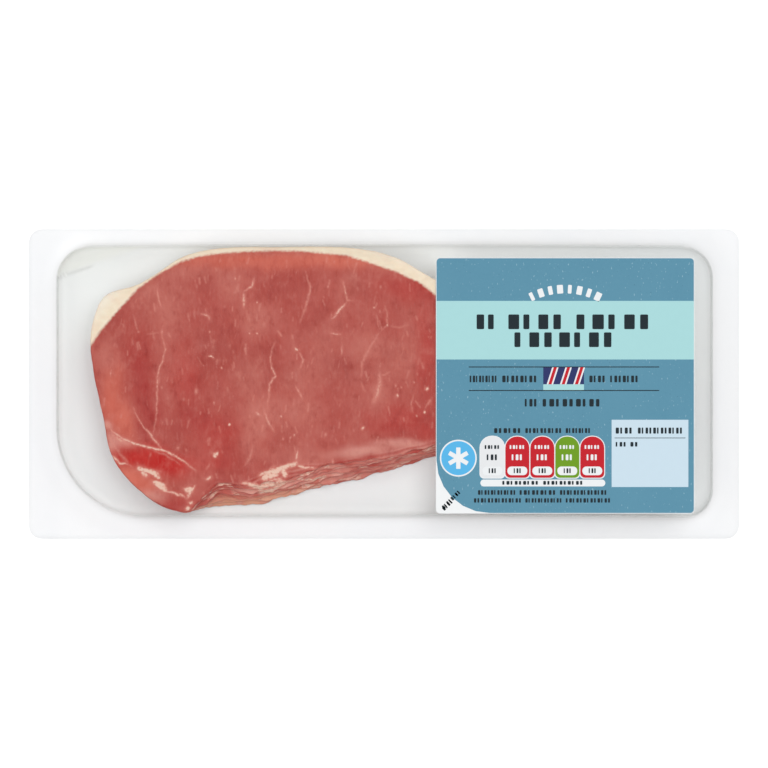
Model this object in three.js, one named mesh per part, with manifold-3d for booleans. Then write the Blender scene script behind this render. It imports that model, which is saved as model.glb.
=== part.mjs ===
// A sealed pack of ten back bacon rashers, lying on its flat back: a white backing film, a clear
// film formed into a shallow box over the stack, ten rashers and a square front label.
// Millimetres. +X runs along the pack towards the label, +Y towards the rashers' fat side, +Z up
// out of the front. The origin is the middle of the back, on the surface that the pack lies on.

import * as THREE from "three";
import { mergeVertices } from "three/addons/utils/BufferGeometryUtils.js";
import Module from "manifold-3d";

// Driving dimensions.
const PACK = { length: 250, width: 109, corner: 4.6 };
const FILM = 0.3; // each film
const AIR = 0.1; // left between pieces that lie on each other
const RASHERS = 10;
const RASHER = 2.3; // thickness of one rasher
const PITCH = RASHER + AIR;
const EDGE = 0.4; // rounding of a rasher's cut edge

// The formed box: its edges at the flange, its corner radii, and how its sides bow.
const BOX = {
  left: -114.6,
  right: 115,
  bottom: -47.2,
  top: 48.4,
  radii: { topLeft: 12, topRight: 11.5, bottomRight: 10, bottomLeft: 31.7 },
  bow: 0.8, // the long sides bow towards +Y by this at mid-length
};
const DRAFT = 0.9; // how far a wall leans in from flange to front
const FOOT = 0.8; // radius where a wall meets the flange
const SHOULDER = 1.5; // radius where a wall meets the front
const CLEARANCE = 0.3; // round the rashers

// The front label.
const LABEL = { left: 18, right: 107.6, bottom: -44.9, top: 43.8, corner: 1.5, thickness: 0.2 };

// Heights, from the surface up.
const FLANGE_BOTTOM = FILM + AIR;
const FLANGE_TOP = FLANGE_BOTTOM + FILM;
const STACK_TOP = FLANGE_BOTTOM + RASHERS * PITCH - AIR;
const FRONT = STACK_TOP + CLEARANCE + FILM;

// The top rasher's outline, fat included, anticlockwise from its pointed end, as [x, y, slip]:
// the bottom rasher's outline runs `slip` further towards -Y there.
const OUTLINE = [
  [-101.9, 13, 0],
  [-100.3, 1.2, 0],
  [-97.4, -11.8, 0.3],
  [-94.5, -25, 0.8],
  [-87, -35, 1],
  [-77.5, -42, 1],
  [-68.4, -44.4, 0.4],
  [-63.5, -40.5, 3.5],
  [-57.5, -35, 7.6],
  [-46.5, -35.6, 6.6],
  [-33, -33.3, 6],
  [-19, -28.2, 7.6],
  [-1.4, -25.8, 5.2],
  [18, -21.2, 4.4],
  [44, -18, 4],
  [70, -14.4, 3],
  [88, -10.5, 2.4],
  [97.5, -3, 1],
  [96, 6, 2.4],
  [83, 13.5, 3],
  [58, 20.2, 3],
  [36, 27.5, 3.4],
  [18, 36.3, 4],
  [4.9, 43, 4.5],
  [-10, 46.4, 4.5],
  [-36, 46.9, 4.4],
  [-58, 46.3, 4],
  [-71, 43, 3.4],
  [-85, 34.8, 2.8],
  [-96.8, 30.6, 2.4],
  [-100.9, 22.5, 1.4],
];
const OUTLINE_STEPS = 64;
const ARC_STEPS = 6;
const SIDE_STEPS = 6;

const wasm = await Module();
wasm.setup();

// Points round the formed box at a distance inside its edge, anticlockwise from the bottom side.
function boxOutline(inset) {
  const { left, right, bottom, top, radii, bow } = BOX;
  const corners = [
    [right, bottom, -1, 1, radii.bottomRight, -Math.PI / 2],
    [right, top, -1, -1, radii.topRight, 0],
    [left, top, 1, -1, radii.topLeft, Math.PI / 2],
    [left, bottom, 1, 1, radii.bottomLeft, Math.PI],
  ];
  const arcs = corners.map(([x, y, inX, inY, radius, from]) => {
    const steps = Math.round(ARC_STEPS * Math.sqrt(radius / radii.topLeft));
    return Array.from({ length: steps + 1 }, (_, i) => {
      const angle = from + (i / steps) * (Math.PI / 2);
      return new THREE.Vector2(
        x + inX * radius + (radius - inset) * Math.cos(angle),
        y + inY * radius + (radius - inset) * Math.sin(angle),
      );
    });
  });
  const points = [];
  arcs.forEach((arc, i) => {
    points.push(...arc);
    const next = arcs[(i + 1) % arcs.length][0];
    for (let step = 1; step < SIDE_STEPS; step++) {
      points.push(arc.at(-1).clone().lerp(next, step / SIDE_STEPS));
    }
  });
  return points.map((p) => {
    const along = p.x / (PACK.length / 2);
    return new THREE.Vector2(p.x, p.y + bow * (1 - along * along));
  });
}

// The outline of a rasher, counted from the top one, grown outwards by a distance.
function rasherOutline(index, grow) {
  const depth = index / (RASHERS - 1);
  const curve = new THREE.CatmullRomCurve3(
    OUTLINE.map(([x, y, slip], i) => {
      const uneven = index === 0 ? 0 : 0.35 * Math.sin(2.4 * index + 1.7 * i);
      return new THREE.Vector3(x, y - slip * depth + uneven * Math.sign(slip), 0);
    }),
    true,
    "centripetal",
  );
  const points = [];
  for (let i = 0; i < OUTLINE_STEPS; i++) {
    const at = curve.getPointAt(i / OUTLINE_STEPS);
    const way = curve.getTangentAt(i / OUTLINE_STEPS);
    points.push(new THREE.Vector2(at.x + grow * way.y, at.y - grow * way.x));
  }
  return points;
}

// A rectangle with round corners.
function roundedRectangle(left, bottom, right, top, radius) {
  const shape = new THREE.Shape();
  shape.moveTo(right, top - radius);
  shape.absarc(right - radius, top - radius, radius, 0, Math.PI / 2);
  shape.absarc(left + radius, top - radius, radius, Math.PI / 2, Math.PI);
  shape.absarc(left + radius, bottom + radius, radius, Math.PI, 1.5 * Math.PI);
  shape.absarc(right - radius, bottom + radius, radius, 1.5 * Math.PI, 2 * Math.PI);
  return shape;
}

// A flat plate of a shape, from one height to another, with its edges rounded if asked.
function plate(shape, from, to, rounding = 0) {
  const geometry = new THREE.ExtrudeGeometry(shape, {
    depth: to - from - 2 * rounding,
    curveSegments: 5,
    bevelEnabled: rounding > 0,
    bevelThickness: rounding,
    bevelSize: rounding,
    bevelOffset: -rounding,
    bevelSegments: 1,
  });
  geometry.translate(0, 0, from + rounding);
  return geometry;
}

// A closed body through rings of the same number of points, as [points, height].
function loft(rings) {
  const count = rings[0][0].length;
  const positions = rings.flatMap(([points, z]) => points.flatMap((p) => [p.x, p.y, z]));
  const faces = [];
  for (let ring = 0; ring + 1 < rings.length; ring++) {
    for (let i = 0; i < count; i++) {
      const a = ring * count + i;
      const b = ring * count + ((i + 1) % count);
      faces.push(a, b, b + count, a, b + count, a + count);
    }
  }
  const last = (rings.length - 1) * count;
  for (const [a, b, c] of THREE.ShapeUtils.triangulateShape(rings[0][0], [])) {
    faces.push(a, c, b);
  }
  for (const [a, b, c] of THREE.ShapeUtils.triangulateShape(rings.at(-1)[0], [])) {
    faces.push(last + a, last + b, last + c);
  }
  const geometry = new THREE.BufferGeometry();
  geometry.setAttribute("position", new THREE.Float32BufferAttribute(positions, 3));
  geometry.setIndex(faces);
  return geometry;
}

function solidOf(geometry) {
  const bare = geometry.clone();
  bare.deleteAttribute("normal");
  bare.deleteAttribute("uv");
  const merged = mergeVertices(bare, 1e-4);
  return new wasm.Manifold(
    new wasm.Mesh({
      numProp: 3,
      vertProperties: merged.attributes.position.array,
      triVerts: new Uint32Array(merged.index.array),
    }),
  );
}

function geometryOf(solid) {
  const { vertProperties, triVerts } = solid.getMesh();
  const geometry = new THREE.BufferGeometry();
  geometry.setAttribute("position", new THREE.BufferAttribute(vertProperties, 3));
  geometry.setIndex(new THREE.BufferAttribute(triVerts, 1));
  geometry.computeVertexNormals();
  return geometry;
}

// The outside of the formed box: its foot on the flange, its leaning walls and its shoulder.
function formedBox() {
  const rings = [[boxOutline(-FOOT), FLANGE_BOTTOM]];
  const steps = 4;
  for (let i = 0; i <= steps; i++) {
    const angle = ((i / steps) * Math.PI) / 2;
    rings.push([boxOutline(-FOOT * (1 - Math.sin(angle))), FLANGE_TOP + FOOT * (1 - Math.cos(angle))]);
  }
  for (let i = 0; i <= steps; i++) {
    const angle = ((i / steps) * Math.PI) / 2;
    rings.push([
      boxOutline(DRAFT + SHOULDER * (1 - Math.cos(angle))),
      FRONT - SHOULDER * (1 - Math.sin(angle)),
    ]);
  }
  return loft(rings);
}

function rasherBottom(index) {
  return FLANGE_BOTTOM + (RASHERS - 1 - index) * PITCH;
}

const halfLength = PACK.length / 2;
const halfWidth = PACK.width / 2;
const packShape = roundedRectangle(-halfLength, -halfWidth, halfLength, halfWidth, PACK.corner);

function backFilm() {
  return plate(packShape, 0, FILM);
}

// The clear film is solid out to its outer face, with a pocket that fits round the stack.
function clearPack() {
  let solid = solidOf(plate(packShape, FLANGE_BOTTOM, FLANGE_TOP)).add(solidOf(formedBox()));
  for (let index = 0; index < RASHERS; index++) {
    const from = index === RASHERS - 1 ? -1 : rasherBottom(index) - AIR;
    const to = rasherBottom(index) + RASHER + CLEARANCE;
    const pocket = plate(new THREE.Shape(rasherOutline(index, CLEARANCE)), from, to);
    solid = solid.subtract(solidOf(pocket));
  }
  return geometryOf(solid);
}

function rasher(index) {
  const from = rasherBottom(index);
  return plate(new THREE.Shape(rasherOutline(index, 0)), from, from + RASHER, EDGE);
}

function label() {
  const { left, bottom, right, top, corner, thickness } = LABEL;
  const from = FRONT + AIR;
  return plate(roundedRectangle(left, bottom, right, top, corner), from, from + thickness);
}

const whiteFilm = new THREE.MeshStandardMaterial({ color: 0xf0f0f2, roughness: 0.35 });
const clearFilm = new THREE.MeshPhysicalMaterial({
  color: 0xe6eae8,
  roughness: 0.08,
  transmission: 0.9,
  ior: 1.5,
});
const pork = new THREE.MeshStandardMaterial({ color: 0xb8594f, roughness: 0.42 });
const labelPaper = new THREE.MeshStandardMaterial({ color: 0x5c93a9, roughness: 0.5 });

function addPiece(name, geometry, material) {
  const mesh = new THREE.Mesh(geometry, material);
  mesh.name = name;
  pack.add(mesh);
}

const pack = new THREE.Group();
addPiece("back_film", backFilm(), whiteFilm);
addPiece("clear_pack", clearPack(), clearFilm);
for (let index = 0; index < RASHERS; index++) {
  addPiece(`rasher_${String(index + 1).padStart(2, "0")}`, rasher(index), pork);
}
addPiece("front_label", label(), labelPaper);

export default pack;
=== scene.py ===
"""The look of a sealed pack of ten back bacon rashers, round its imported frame.

Lengths are in millimetres and become metres where a mesh is made. The pack lies on its back:
+X runs towards the label, +Y towards the rashers' fat side, +Z up out of the clear front.
"""

import math
import random

import bpy
import numpy as np
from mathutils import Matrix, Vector, noise
from mathutils.geometry import delaunay_2d_cdt


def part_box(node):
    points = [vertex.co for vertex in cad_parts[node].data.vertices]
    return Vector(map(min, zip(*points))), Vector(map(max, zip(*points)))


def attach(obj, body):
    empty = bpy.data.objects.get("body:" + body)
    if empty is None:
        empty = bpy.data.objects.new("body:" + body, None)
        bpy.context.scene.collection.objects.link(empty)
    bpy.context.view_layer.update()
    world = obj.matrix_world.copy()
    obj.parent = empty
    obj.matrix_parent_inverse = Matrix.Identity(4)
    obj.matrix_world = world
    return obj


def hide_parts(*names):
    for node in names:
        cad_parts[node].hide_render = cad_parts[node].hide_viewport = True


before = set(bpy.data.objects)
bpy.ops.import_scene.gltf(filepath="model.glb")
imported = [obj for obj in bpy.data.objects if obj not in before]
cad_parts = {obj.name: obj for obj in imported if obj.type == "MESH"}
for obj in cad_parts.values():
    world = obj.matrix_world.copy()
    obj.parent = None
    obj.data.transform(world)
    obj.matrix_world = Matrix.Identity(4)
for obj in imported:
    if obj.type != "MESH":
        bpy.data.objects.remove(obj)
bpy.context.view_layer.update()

METRE = 1000.0
PAINT_SHARE = 0.8


def box_mm(node):
    """A CAD node's lowest and highest corner."""
    low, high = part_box(node)
    return np.array(low) * METRE, np.array(high) * METRE


RASHERS = sorted(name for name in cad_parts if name.startswith("rasher_"))
PACK_LOW, PACK_HIGH = box_mm("clear_pack")
BACK_TOP = box_mm("back_film")[1][2]
LABEL_LOW, LABEL_HIGH = box_mm("front_label")
FRONT = PACK_HIGH[2]
FILM = 0.3
AIR = 0.1
# The stretch of X that takes in the whole pack, for grids of points.
ALL_X = (-200, 200)


# ---- small helpers


def linear(red, green, blue):
    """A screen colour, 0 to 255, as the linear RGBA that shaders use."""
    def channel(c):
        c /= 255
        return c / 12.92 if c <= 0.04045 else ((c + 0.055) / 1.055) ** 2.4

    return (channel(red), channel(green), channel(blue), 1.0)


def paint(red, green, blue):
    """A surface colour that this scene's light shows as about the given screen colour."""
    return tuple(c * PAINT_SHARE for c in linear(red, green, blue)[:3]) + (1.0,)


def smooth(low, high, value):
    """0 below low, 1 above high, and a smooth step between them."""
    t = np.clip((value - low) / (high - low), 0.0, 1.0)
    return t * t * (3 - 2 * t)


def relief(xs, ys, scale, seed=0.0):
    """Smooth noise from -1 to 1 at each point, with features about `scale` across."""
    return np.array([noise.noise(Vector((x / scale, y / scale, seed))) for x, y in zip(xs, ys)])


def closed_curve(points, spacing):
    """A closed centripetal Catmull-Rom curve through the points, with even spacing."""
    dense = []
    count = len(points)
    for i in range(count):
        p0, p1, p2, p3 = (np.array(points[(i + k - 1) % count], float) for k in range(4))
        t0, t1, t2 = (math.sqrt(np.linalg.norm(b - a)) for a, b in ((p0, p1), (p1, p2), (p2, p3)))
        m1 = ((p1 - p0) / t0 - (p2 - p0) / (t0 + t1) + (p2 - p1) / t1) * t1
        m2 = ((p2 - p1) / t1 - (p3 - p1) / (t1 + t2) + (p3 - p2) / t2) * t1
        for s in np.linspace(0, 1, 24, endpoint=False):
            dense.append(
                (2 * s**3 - 3 * s**2 + 1) * p1 + (s**3 - 2 * s**2 + s) * m1
                + (3 * s**2 - 2 * s**3) * p2 + (s**3 - s**2) * m2
            )
    return resample(np.array(dense), spacing)


def resample(ring, spacing):
    """The same closed ring with evenly spaced points."""
    closed = np.vstack([ring, ring[:1]])
    along = np.concatenate([[0], np.cumsum(np.linalg.norm(np.diff(closed, axis=0), axis=1))])
    at = np.linspace(0, along[-1], max(8, round(along[-1] / spacing)), endpoint=False)
    return np.stack([np.interp(at, along, closed[:, k]) for k in (0, 1)], axis=1)


def outward(ring):
    """The outward unit normal at each point of an anticlockwise ring."""
    tangent = np.roll(ring, -1, axis=0) - np.roll(ring, 1, axis=0)
    tangent /= np.linalg.norm(tangent, axis=1)[:, None]
    return np.stack([tangent[:, 1], -tangent[:, 0]], axis=1)


def inside(ring, xs, ys):
    """Whether each point lies inside the ring."""
    found = np.zeros(len(xs), bool)
    for (x0, y0), (x1, y1) in zip(ring, np.roll(ring, -1, axis=0)):
        if y0 == y1:
            continue
        crosses = (y0 > ys) != (y1 > ys)
        found ^= crosses & (xs < x0 + (ys - y0) * (x1 - x0) / (y1 - y0))
    return found


def path_distance(path, xs, ys, ends=1.0):
    """Distance to an open path, its side (positive on the left), and its width factor there.

    The width factor falls from 1 in the middle to `ends` at both ends.
    """
    best = np.full(len(xs), np.inf)
    side = np.ones(len(xs))
    taper = np.ones(len(xs))
    path = np.array(path, float)
    lengths = np.linalg.norm(np.diff(path, axis=0), axis=1)
    total = lengths.sum()
    start = 0.0
    for (x0, y0), (x1, y1), length in zip(path, path[1:], lengths):
        dx, dy = (x1 - x0) / length, (y1 - y0) / length
        along = np.clip((xs - x0) * dx + (ys - y0) * dy, 0, length)
        away = np.hypot(xs - x0 - along * dx, ys - y0 - along * dy)
        nearer = away < best
        best = np.where(nearer, away, best)
        cross = dx * (ys - y0) - dy * (xs - x0)
        side = np.where(nearer, np.sign(cross), side)
        share = (start + along) / total
        taper = np.where(nearer, ends + (1 - ends) * np.sqrt(np.sin(math.pi * share).clip(0)), taper)
        start += length
    return best, side, taper


def grid_points(ring, margin, bands):
    """Staggered points inside the ring, at least `margin` in from it.

    bands gives the step between points for each stretch of X, as (from, to, step).
    """
    inner = ring - outward(ring) * margin
    xs, ys = [], []
    low, high = inner.min(axis=0), inner.max(axis=0)
    for start, stop, step in bands:
        row = 0
        for y in np.arange(low[1], high[1], step * 0.866):
            first = max(low[0], start) + (row % 2) * step / 2
            line = np.arange(first, min(high[0], stop), step)
            xs.append(line)
            ys.append(np.full(len(line), y))
            row += 1
    xs, ys = np.concatenate(xs), np.concatenate(ys)
    keep = inside(inner, xs, ys)
    return np.stack([xs[keep], ys[keep]], axis=1)


def cap(ring, points):
    """Triangles over a flat ring and the points inside it; ring points are numbered first."""
    flat = [Vector(p) for p in ring] + [Vector(p) for p in points]
    made = delaunay_2d_cdt(flat, [], [list(range(len(ring)))], 1, 1e-6, False)
    assert len(made[0]) == len(flat)
    places, triangles = np.array(flat), np.array(made[2])
    middles = places[triangles].mean(axis=1)
    return triangles[inside(ring, middles[:, 0], middles[:, 1])].tolist()


def mesh_object(name, vertices, faces, material, smooth_shading=True):
    """A mesh object from points in millimetres."""
    mesh = bpy.data.meshes.new(name)
    mesh.from_pydata((np.asarray(vertices, float) / METRE).tolist(), [], faces)
    mesh.validate()
    if smooth_shading:
        mesh.shade_smooth()
    made = bpy.data.objects.new(name, mesh)
    bpy.context.scene.collection.objects.link(made)
    mesh.materials.append(material)
    return made


def attribute(piece, name, values):
    """A number at each vertex, for the piece's material."""
    made = piece.data.attributes.new(name, "FLOAT", "POINT")
    made.data.foreach_set("value", np.asarray(values, np.float32))


def colour_attribute(piece, name, colours):
    """A linear RGB colour at each vertex, for the piece's material."""
    rgba = np.ones((len(colours), 4), np.float32)
    rgba[:, :3] = colours
    made = piece.data.color_attributes.new(name, "FLOAT_COLOR", "POINT")
    made.data.foreach_set("color", rgba.ravel())


def ring_quads(layers, count):
    """Quads between neighbouring rings of `count` points each, numbered ring by ring."""
    faces = []
    for a in range(0, (layers - 1) * count, count):
        for i in range(count):
            j = (i + 1) % count
            faces.append([a + i, a + j, a + count + j, a + count + i])
    return faces


SLAB_STEPS = 3
UNDERSIDE_STEP = 6.0


def rounded_slab(ring, low, high, rounding, bands, steps=SLAB_STEPS):
    """A flat closed body with rounded edges: its vertices and faces."""
    normals = outward(ring)
    angles = [math.pi / 2 * (k / steps - 1) for k in range(steps + 1)]
    profile = [(rounding * (1 - math.cos(a)), low + rounding * (1 + math.sin(a))) for a in angles]
    profile += [(inset, high + low - z) for inset, z in reversed(profile)]
    count = len(ring)
    vertices = [(*point, z) for inset, z in profile for point in ring - normals * inset]
    faces = ring_quads(len(profile), count)
    rim = ring - normals * rounding
    for layer, z, flip, steps_over in (
        (len(profile) - 1, high, False, bands), (0, low, True, [(*ALL_X, UNDERSIDE_STEP)]),
    ):
        points = grid_points(ring, rounding + 0.7 * min(step for _, _, step in steps_over), steps_over)
        triangles = cap(rim, points)
        first = len(vertices)
        vertices += [(*p, z) for p in points]
        where = [layer * count + i for i in range(count)] + list(range(first, first + len(points)))
        for triangle in triangles:
            face = [where[i] for i in triangle]
            faces.append(face[::-1] if flip else face)
    return np.array(vertices), faces


# ---- shader helpers


def new_material(name):
    """An empty node material, its tree and its output's surface socket."""
    material = bpy.data.materials.new(name)
    material.use_nodes = True
    tree = material.node_tree
    tree.nodes.clear()
    output = tree.nodes.new("ShaderNodeOutputMaterial")
    return material, tree, output.inputs["Surface"]


def node(tree, kind, settings=None, **inputs):
    """A shader node. An input is named by its socket, and takes a value or another's output."""
    made = tree.nodes.new("ShaderNode" + kind)
    for key, value in (settings or {}).items():
        setattr(made, key, value)
    for key, value in inputs.items():
        plug(tree, made.inputs[key.replace("_", " ")], value)
    return made


def plug(tree, socket, value):
    if isinstance(value, bpy.types.NodeSocket):
        tree.links.new(value, socket)
    else:
        socket.default_value = value


def calc(tree, operation, *values):
    """A math node's result."""
    made = tree.nodes.new("ShaderNodeMath")
    made.operation = operation
    for socket, value in zip(made.inputs, values):
        plug(tree, socket, value)
    return made.outputs[0]


def step_between(tree, value, low, high, to_low=0.0, to_high=1.0):
    """A smooth step of a value, from to_low at low to to_high at high."""
    made = node(tree, "MapRange", {"interpolation_type": "SMOOTHSTEP"}, Value=value)
    for name, number in zip(("From Min", "From Max", "To Min", "To Max"), (low, high, to_low, to_high)):
        made.inputs[name].default_value = number
    return made.outputs["Result"]


def blend(tree, factor, first, second, how="MIX"):
    """Two colours mixed by a factor."""
    made = tree.nodes.new("ShaderNodeMix")
    made.data_type = "RGBA"
    made.blend_type = how
    plug(tree, made.inputs["Factor"], factor)
    colours = [s for s in made.inputs if s.type == "RGBA"]
    plug(tree, colours[0], first)
    plug(tree, colours[1], second)
    return next(s for s in made.outputs if s.type == "RGBA")


def tinge(tree, tone, value, low, high, share, colour):
    """The tone with up to a share of the colour mixed in, as a value goes from low to high."""
    return blend(tree, step_between(tree, value, low, high, 0, share), tone, colour)


def finish_surface(tree, surface, **inputs):
    """The principled shader with these inputs, joined to the material's output."""
    tree.links.new(node(tree, "BsdfPrincipled", **inputs).outputs[0], surface)


def millimetres(tree, stretch=(1, 1, 1)):
    """The surface's place in millimetres, divided by a stretch along each axis."""
    place = node(tree, "TexCoord").outputs["Object"]
    scale = tuple(METRE / s for s in stretch)
    made = node(tree, "VectorMath", {"operation": "MULTIPLY"})
    plug(tree, made.inputs[0], place)
    plug(tree, made.inputs[1], scale)
    return made.outputs[0]


def clouds(tree, size, stretch=(1, 1, 1), detail=3.0, roughness=0.5):
    """Noise around 0.5, with features about `size` millimetres across."""
    return node(
        tree, "TexNoise", Vector=millimetres(tree, stretch),
        Scale=1 / size, Detail=detail, Roughness=roughness,
    ).outputs["Fac"]


def vertex_value(tree, name, kind="Fac"):
    """A vertex attribute's number, or its colour where kind is Color."""
    return node(tree, "Attribute", {"attribute_name": name}).outputs[kind]


def bump(tree, height, distance, strength=1.0):
    """A bump from a height, with its full depth in millimetres."""
    return node(tree, "Bump", Height=height, Distance=distance / METRE, Strength=strength).outputs["Normal"]


# ---- camera, light and floor

LENS = 215.0
SENSOR = 36.0
VIEW_WIDTH = 270.4
CAMERA_HEIGHT = VIEW_WIDTH * LENS / SENSOR
WORLD_STRENGTH = 0.5
SUN_TILT = 14
SUN_SOFTNESS = 30
FLOOR_REACH = 3000


def make_camera():
    data = bpy.data.cameras.new("camera")
    data.lens = LENS
    data.sensor_width = SENSOR
    data.clip_end = 20
    camera = bpy.data.objects.new("camera", data)
    camera.location = (0, 0, CAMERA_HEIGHT / METRE)
    bpy.context.scene.collection.objects.link(camera)
    bpy.context.scene.camera = camera


def make_sun(name, side, strength):
    """A broad distant light, a little off overhead; side is the angle from +X that it stands at."""
    data = bpy.data.lights.new(name, "SUN")
    data.energy = strength
    data.angle = math.radians(SUN_SOFTNESS)
    light = bpy.data.objects.new(name, data)
    lean, turn = math.radians(SUN_TILT), math.radians(side)
    place = Vector((math.sin(lean) * math.cos(turn), math.sin(lean) * math.sin(turn), math.cos(lean)))
    light.location = place
    light.rotation_euler = (-place).to_track_quat("-Z", "Y").to_euler()
    bpy.context.scene.collection.objects.link(light)


def make_surroundings():
    scene = bpy.context.scene
    scene.view_settings.view_transform = "Standard"
    world = bpy.data.worlds.new("surroundings")
    world.use_nodes = True
    background = world.node_tree.nodes["Background"]
    background.inputs["Color"].default_value = (1.0, 1.0, 1.0, 1.0)
    background.inputs["Strength"].default_value = WORLD_STRENGTH
    scene.world = world
    make_sun("key_light", 205, 1.08)
    make_sun("fill_light", 45, 1.26)

    material, tree, surface = new_material("floor")
    tone = blend(tree, clouds(tree, 60), linear(250, 250, 250), linear(253, 253, 253))
    finish_surface(tree, surface, Base_Color=tone, Roughness=0.9, Specular_IOR_Level=0.1)
    corners = [(x * FLOOR_REACH, y * FLOOR_REACH, 0) for x, y in ((-1, -1), (1, -1), (1, 1), (-1, 1))]
    mesh_object("floor", corners, [[0, 1, 2, 3]], material)


# ---- the backing film

FLANGE_CORNER = 4.6
BACKING_STEP = 1.2
BACKING_ROUNDING = 0.06


def rounded_ring(left, bottom, right, top, radii, steps=10):
    """An anticlockwise rectangle with round corners, with radii from the bottom left, anticlockwise."""
    centres = (
        (left + radii[0], bottom + radii[0], math.pi),
        (right - radii[1], bottom + radii[1], 1.5 * math.pi),
        (right - radii[2], top - radii[2], 0.0),
        (left + radii[3], top - radii[3], 0.5 * math.pi),
    )
    ring = []
    for (x, y, start), radius in zip(centres, radii):
        for k in range(steps + 1):
            angle = start + k / steps * math.pi / 2
            ring.append((x + radius * math.cos(angle), y + radius * math.sin(angle)))
    return np.array(ring)


def pack_ring(spacing=1.5):
    ring = rounded_ring(PACK_LOW[0], PACK_LOW[1], PACK_HIGH[0], PACK_HIGH[1], [FLANGE_CORNER] * 4)
    return resample(ring, spacing)


def white_film_material():
    material, tree, surface = new_material("white_film")
    tone = blend(tree, clouds(tree, 40, detail=2), (0.79, 0.79, 0.8, 1), (0.81, 0.81, 0.82, 1))
    fine = clouds(tree, 1.5, detail=2)
    tone = tinge(tree, tone, fine, 0.3, 0.7, 0.3, (0.775, 0.775, 0.785, 1))
    # The backing's painted light and shade, a vertex colour multiplied in.
    painted_light_and_shade = vertex_value(tree, "painted_light_and_shade", "Color")
    tone = blend(tree, 1.0, tone, painted_light_and_shade, "MULTIPLY")
    ripple = clouds(tree, 9, detail=2)
    finish_surface(
        tree, surface, Base_Color=tone, Roughness=0.38, Specular_IOR_Level=0.4,
        Normal=bump(tree, ripple, 0.12),
    )
    return material


def make_backing():
    ring = pack_ring()
    bands = [(*ALL_X, BACKING_STEP)]
    vertices, faces = rounded_slab(ring, 0.0, BACK_TOP, BACKING_ROUNDING, bands, steps=2)
    backing = mesh_object("backing", vertices, faces, white_film_material())
    # Painted light and shade on the backing: painted light close to the formed box's foot, and painted
    # shade inside the box left of the label, towards the flange's outer edge and at its left end; the open
    # part of the box is also a greener grey.
    xs, ys = vertices[:, 0], vertices[:, 1]
    box = box_ring(0, 2.0)
    away, _, _ = path_distance(np.vstack([box, box[:1]]), xs, ys)
    pocket_painted_shade = 1.05 - 0.15 * smooth(0, 5, away) * smooth(30, 0, xs)
    flange_painted_light_and_shade = 1.0 + 0.12 * np.exp(-((away / 1.6) ** 2)) - 0.055 * smooth(2.5, 7, away)
    flange_painted_light_and_shade -= 0.02 * smooth(-112, -117, xs)
    under_box = inside(box, xs, ys)[:, None]
    greenish, neutral = (0.99, 1.017, 1.005), (1, 1, 1)
    painted_light_and_shade_colours = np.where(under_box, pocket_painted_shade[:, None] * greenish, flange_painted_light_and_shade[:, None] * neutral)
    colour_attribute(backing, "painted_light_and_shade", painted_light_and_shade_colours)
    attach(backing, "root")
    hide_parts("back_film")


# ---- the formed clear film

# The formed box as in the frame: its sides at the flange, its radii and how its long sides bow.
BOX_LEFT, BOX_RIGHT, BOX_BOTTOM, BOX_TOP = -114.6, 115.0, -47.2, 48.4
BOX_RADII = [31.7, 10.0, 11.5, 12.0]
BOX_BOW = 0.8
DRAFT = 0.9
FOOT = 0.8
SHOULDER = 1.5
HALF_LENGTH = 125.0
# The crease across the box's top left corner: its place, slope and depth, and where it fades out.
CREASE = 12.1
CREASE_SLOPE = 0.34
FOLD_DEPTH = 3.6
CREASE_FADE = (-99.5, -103)
# How hazy the film is, ring by ring up from the flange; the grey on the foot, wall and shoulder is mostly
# painted shade, and the full grey at the foot is a painted dark line.
FOOT_HAZE_AND_PAINTED_SHADE = (0.2, 0.2, 0.2, 0.2, 1.0, 1.0)
WALL_HAZE_AND_PAINTED_SHADE = 0.08
WALL_RINGS = 8
SHOULDER_HAZE_AND_PAINTED_SHADE = (0.05, 0.05, 0.12, 0.2, 0.1, 0.06, 0.05)
FRONT_VEIL = 0.03


def box_ring(inset, spacing):
    ring = rounded_ring(
        BOX_LEFT + inset, BOX_BOTTOM + inset, BOX_RIGHT - inset, BOX_TOP - inset,
        [radius - inset for radius in BOX_RADII], steps=16,
    )
    ring = resample(ring, spacing)
    ring[:, 1] += BOX_BOW * (1 - (ring[:, 0] / HALF_LENGTH) ** 2)
    return ring


def past_crease(xs, ys):
    """How far each point is from the box's top left corner, measured square to its crease."""
    return (xs - BOX_LEFT) * CREASE_SLOPE + (BOX_TOP - ys)


def film_sag(xs, ys, over_stack):
    """How far the front dips below its full height."""
    fold = np.clip(1 - past_crease(xs, ys) / CREASE, 0, 1) * FOLD_DEPTH
    empty = 1 - over_stack
    away = np.minimum.reduce([xs - BOX_LEFT, BOX_RIGHT - xs, BOX_TOP - ys, ys - BOX_BOTTOM])
    slack = 0.7 * smooth(2.0, 9.0, away) * empty * (0.6 + 0.4 * relief(xs, ys, 18, 5.0))
    right_end = smooth(LABEL_LOW[0] - 6, LABEL_LOW[0] - 1, xs)
    return fold + slack * (1 - right_end)


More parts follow.
